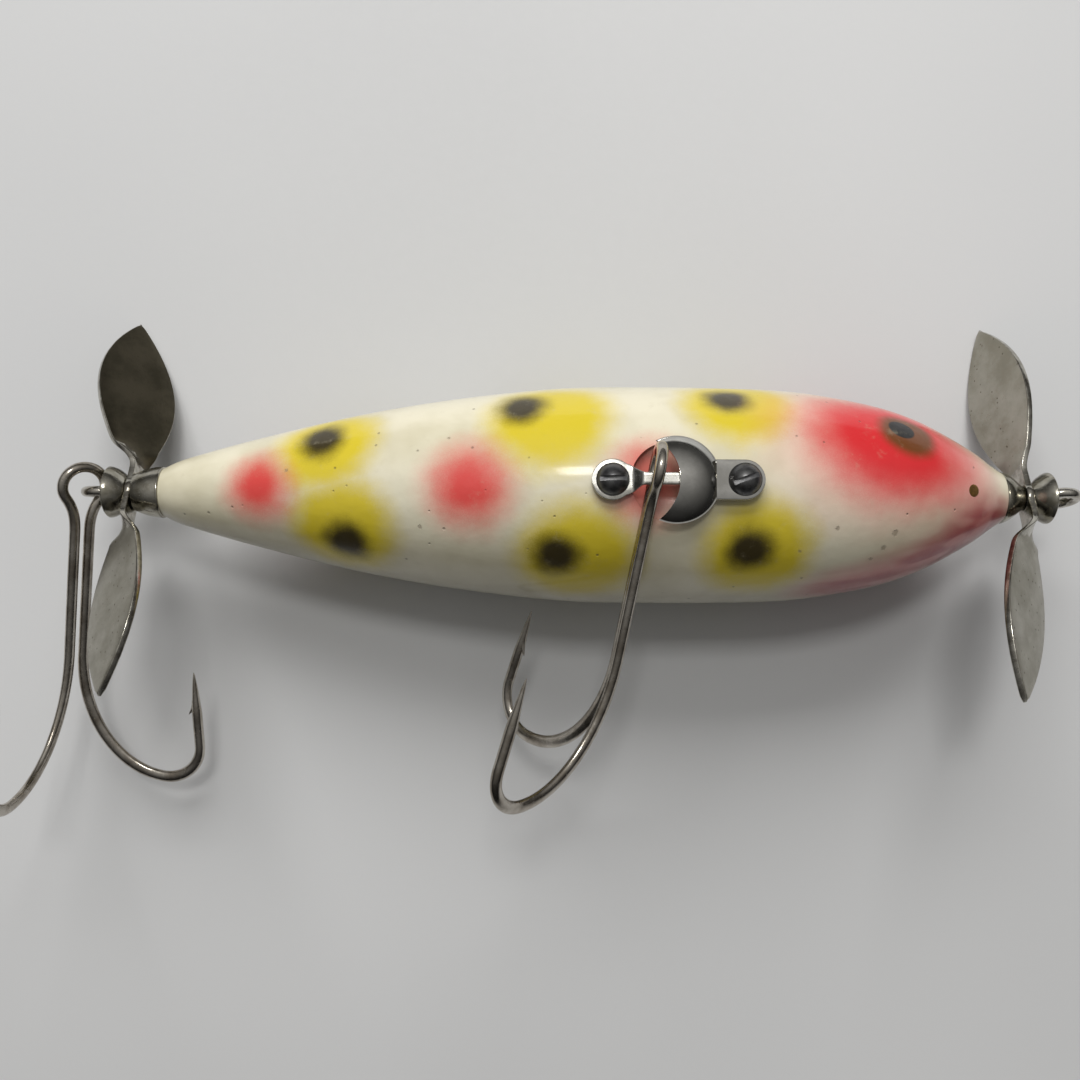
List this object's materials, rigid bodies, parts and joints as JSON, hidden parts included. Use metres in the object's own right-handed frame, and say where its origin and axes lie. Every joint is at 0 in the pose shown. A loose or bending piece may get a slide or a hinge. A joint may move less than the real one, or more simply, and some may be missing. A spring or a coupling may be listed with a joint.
{
  "type": "propeller fishing plug",
  "caption": "Hollow painted fishing plug with a spinning propeller at each end, a hinged tail hook and a hinged belly hook on a guarded flap rig.",
  "frame": {"origin": "centre of the line tie's ring, on the body axis", "axes": "+X along the body axis out of the nose, +Z out of the side that carries the flap rig, +Y towards the back of the fish"},
  "size_m": [0.1029, 0.0489, 0.0279],
  "materials": {
    "painted_body": "warm white lacquer with sprayed red, yellow and black spots under a clear coat",
    "nickel_wire": "bright nickel plated wire, slightly worn",
    "nickel_sheet": "bright nickel plated pressing",
    "propeller_sheet": "dull nickel plated sheet, fine scratches",
    "hook_wire": "dark nickel plated hook wire",
    "rig_plate": "polished nickel plated plate",
    "screw_steel": "blued steel, worn bright at the slot",
    "pin_brass": "tarnished brass"
  },
  "bodies": {
    "body": {"body_shell_near": "painted_body", "body_shell_far": "painted_body", "line_tie": "nickel_wire", "nose_cup": "nickel_sheet", "tail_eye": "nickel_wire", "tail_cup": "nickel_sheet", "hanger_bar": "rig_plate", "hook_guard": "rig_plate", "rear_rig_screw": "screw_steel", "front_rig_screw": "screw_steel", "nose_pin": "pin_brass"},
    "front_propeller": {"front_propeller": "propeller_sheet"},
    "rear_propeller": {"rear_propeller": "propeller_sheet"},
    "front_bell": {"front_bell": "nickel_sheet"},
    "rear_bell": {"rear_bell": "nickel_sheet"},
    "tail_hook": {"tail_hook": "hook_wire"},
    "belly_hook": {"belly_hook": "hook_wire"}
  },
  "joints": [
    {"name": "front_prop_spin", "type": "hinge", "parent": "body", "child": "front_propeller", "pos_m": [-0.00321, 0, 0], "axis": [1, 0, 0], "continuous": true},
    {"name": "rear_prop_spin", "type": "hinge", "parent": "body", "child": "rear_propeller", "pos_m": [-0.08989, 0, 0], "axis": [1, 0, 0], "continuous": true},
    {"name": "front_bell_spin", "type": "hinge", "parent": "body", "child": "front_bell", "pos_m": [-0.002, 0, 0], "axis": [1, 0, 0], "continuous": true},
    {"name": "rear_bell_spin", "type": "hinge", "parent": "body", "child": "rear_bell", "pos_m": [-0.0911, 0, 0], "axis": [1, 0, 0], "continuous": true},
    {"name": "tail_hook_swing", "type": "hinge", "parent": "body", "child": "tail_hook", "pos_m": [-0.09408, 0.00045, 0.00112], "axis": [0.6242, -0.3042, 0.7196], "range_deg": [-85, 0]},
    {"name": "belly_hook_swing", "type": "hinge", "parent": "body", "child": "belly_hook", "pos_m": [-0.04032, 0.00124, 0.01273], "axis": [1, 0, 0], "range_deg": [-110, 0]}
  ]
}
